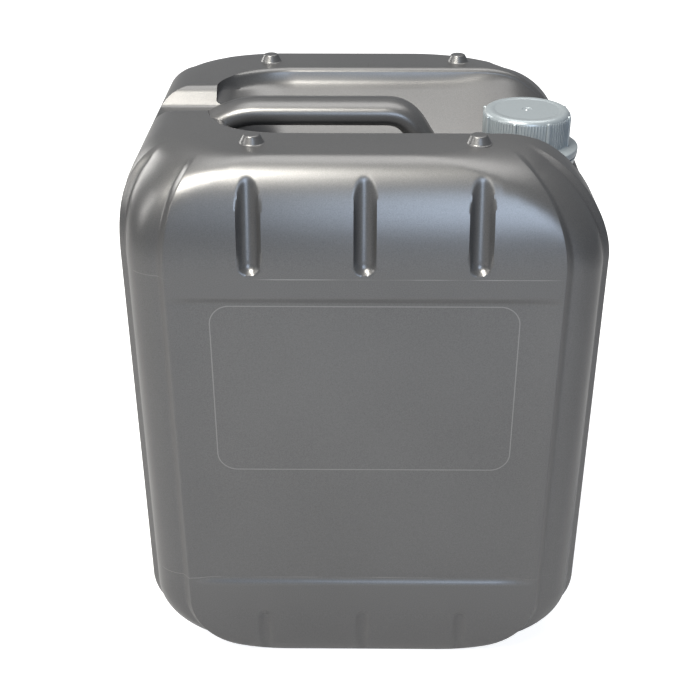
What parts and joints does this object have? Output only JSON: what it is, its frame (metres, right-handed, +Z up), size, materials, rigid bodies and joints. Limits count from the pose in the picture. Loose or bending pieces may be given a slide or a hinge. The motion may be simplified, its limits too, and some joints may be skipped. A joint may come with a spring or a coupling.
{
  "type": "hydraulic oil canister",
  "caption": "Blow-moulded jerrycan with stepped corner pillars, a recessed top carry handle and an offset screw cap on a threaded neck.",
  "frame": {"origin": "on the floor, under the middle of the base", "axes": "+Z up, -Y is the front label face, +X along the handle towards the neck"},
  "size_m": [0.29, 0.268, 0.36],
  "materials": {
    "silver_plastic": "satin, metallic silver-grey",
    "cap_plastic": "semi-gloss",
    "liner_foam": "matt"
  },
  "bodies": {
    "canister": {"canister_body": "silver_plastic", "tamper_band": "cap_plastic"},
    "liner": {"cap_liner": "liner_foam"},
    "cap": {"screw_cap": "cap_plastic"}
  },
  "joints": [
    {"name": "cap_lift", "type": "slide", "parent": "canister", "child": "liner", "axis": [0, 0, 1], "range_m": [0, 0.03]},
    {"name": "cap_turn", "type": "hinge", "parent": "liner", "child": "cap", "pos_m": [0.105, 0, 0.33], "axis": [0, 0, 1], "range_deg": [0, 1800]}
  ],
  "couplings": [
    {"joint": "cap_lift", "follows": "cap_turn", "m_per_rad": 0.00095493}
  ]
}
